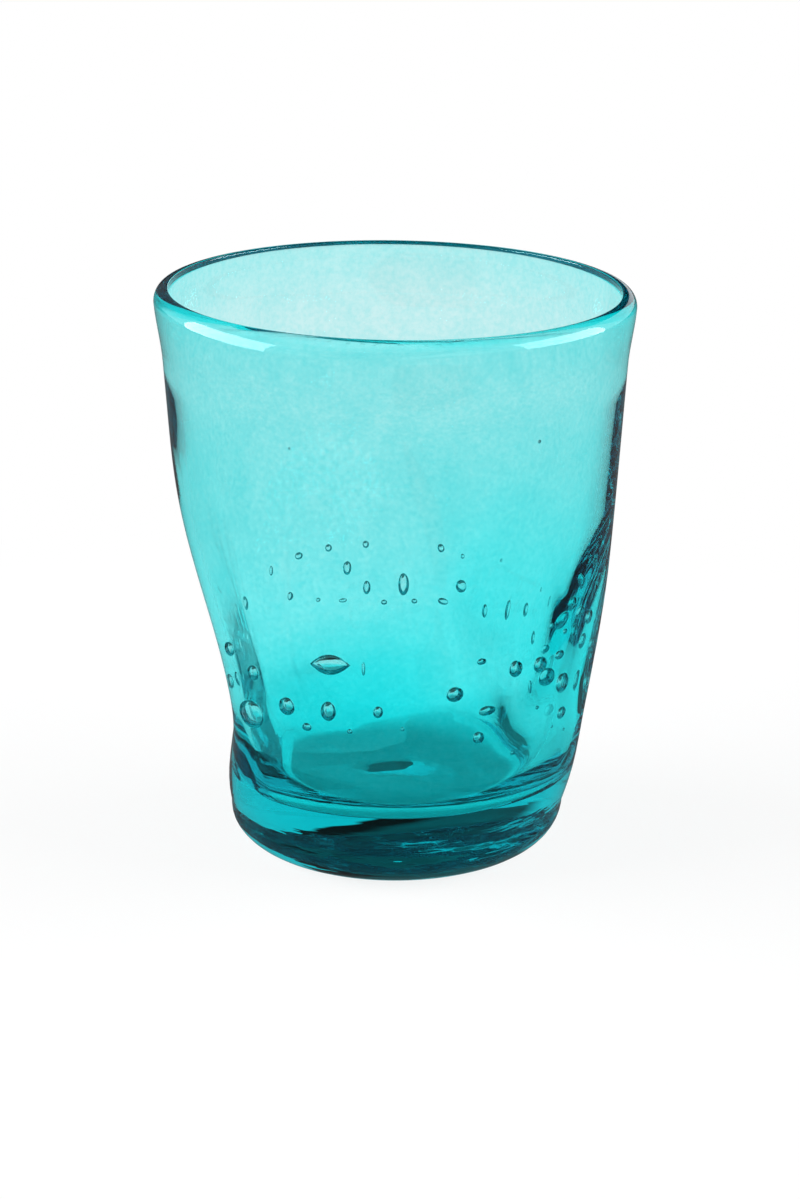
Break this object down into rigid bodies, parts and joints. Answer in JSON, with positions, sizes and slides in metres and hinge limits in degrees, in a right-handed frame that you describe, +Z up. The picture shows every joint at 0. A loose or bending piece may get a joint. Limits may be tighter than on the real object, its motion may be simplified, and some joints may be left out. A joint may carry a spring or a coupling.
{
  "type": "drinking glass",
  "caption": "Hand-blown tumbler of clear turquoise bubble glass: round lip, walls pressed flat near the foot, thick base. Holds a cold drink.",
  "frame": {"origin": "middle of the standing face, under the middle of the round lip", "axes": "+Z up along the axis the glass was blown about; +X to the right and -Y towards the viewer of the picture"},
  "size_m": [0.084, 0.084, 0.102],
  "materials": {
    "glass": "fire-polished clear turquoise glass, faintly wavy, with trapped air bubbles"
  },
  "bodies": {
    "root": {"core_gather": "glass", "casing_gather": "glass", "base_gather": "glass"}
  },
  "joints": []
}
